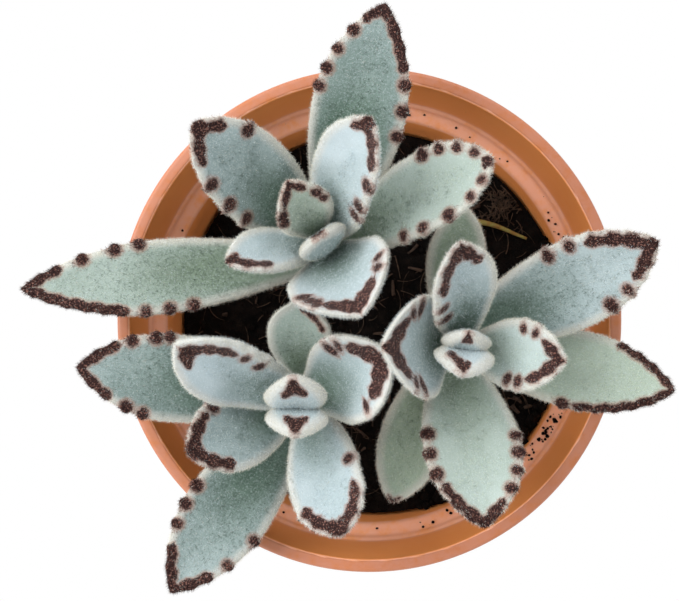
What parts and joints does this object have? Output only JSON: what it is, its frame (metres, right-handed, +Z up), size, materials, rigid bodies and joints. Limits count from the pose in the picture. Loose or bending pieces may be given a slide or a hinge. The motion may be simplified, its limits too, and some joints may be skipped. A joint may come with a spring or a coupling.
{
  "type": "panda plant in a pot",
  "caption": "Panda plant: short woody stems with thick felted leaves edged in brown teeth, growing from soil in a round tapered terracotta-coloured plastic pot.",
  "frame": {"origin": "centre of the pot's foot, on the surface that it stands on", "axes": "+Z up along the pot's axis; +Y to the back, which is up in the picture; +X to the right"},
  "size_m": [0.1615, 0.1429, 0.1636],
  "materials": {
    "pot_plastic": "satin moulded plastic, terracotta orange, scuffed rim, dust and dried water marks",
    "potting_soil": null,
    "stem_bark": "matt grey-green young bark, downy towards the top",
    "leaf_felt": "pale blue-green leaf under dense white felt, with brown tips and brown blotches on the teeth"
  },
  "bodies": {
    "root": {"pot": "pot_plastic", "soil": "potting_soil", "stem_upper": "stem_bark", "stem_left": "stem_bark", "stem_right": "stem_bark", "leaf_upper_back": "leaf_felt", "leaf_upper_far_left": "leaf_felt", "leaf_upper_back_left": "leaf_felt", "leaf_upper_back_upright": "leaf_felt", "leaf_upper_front_right": "leaf_felt", "leaf_upper_left_upright": "leaf_felt", "leaf_upper_front_cupped": "leaf_felt", "leaf_upper_young_back": "leaf_felt", "leaf_upper_young_front": "leaf_felt", "leaf_left_far_left": "leaf_felt", "leaf_left_left_upright": "leaf_felt", "leaf_left_front_left": "leaf_felt", "leaf_left_far_front": "leaf_felt", "leaf_left_front": "leaf_felt", "leaf_left_right_cupped": "leaf_felt", "leaf_left_back": "leaf_felt", "leaf_left_young_back": "leaf_felt", "leaf_left_young_front": "leaf_felt", "leaf_right_back_right": "leaf_felt", "leaf_right_far_right": "leaf_felt", "leaf_right_front": "leaf_felt", "leaf_right_front_low": "leaf_felt", "leaf_right_back_upright": "leaf_felt", "leaf_right_left_cupped": "leaf_felt", "leaf_right_right_short": "leaf_felt", "leaf_right_back_low": "leaf_felt", "leaf_right_young_front": "leaf_felt", "leaf_right_young_back": "leaf_felt"}
  },
  "joints": []
}
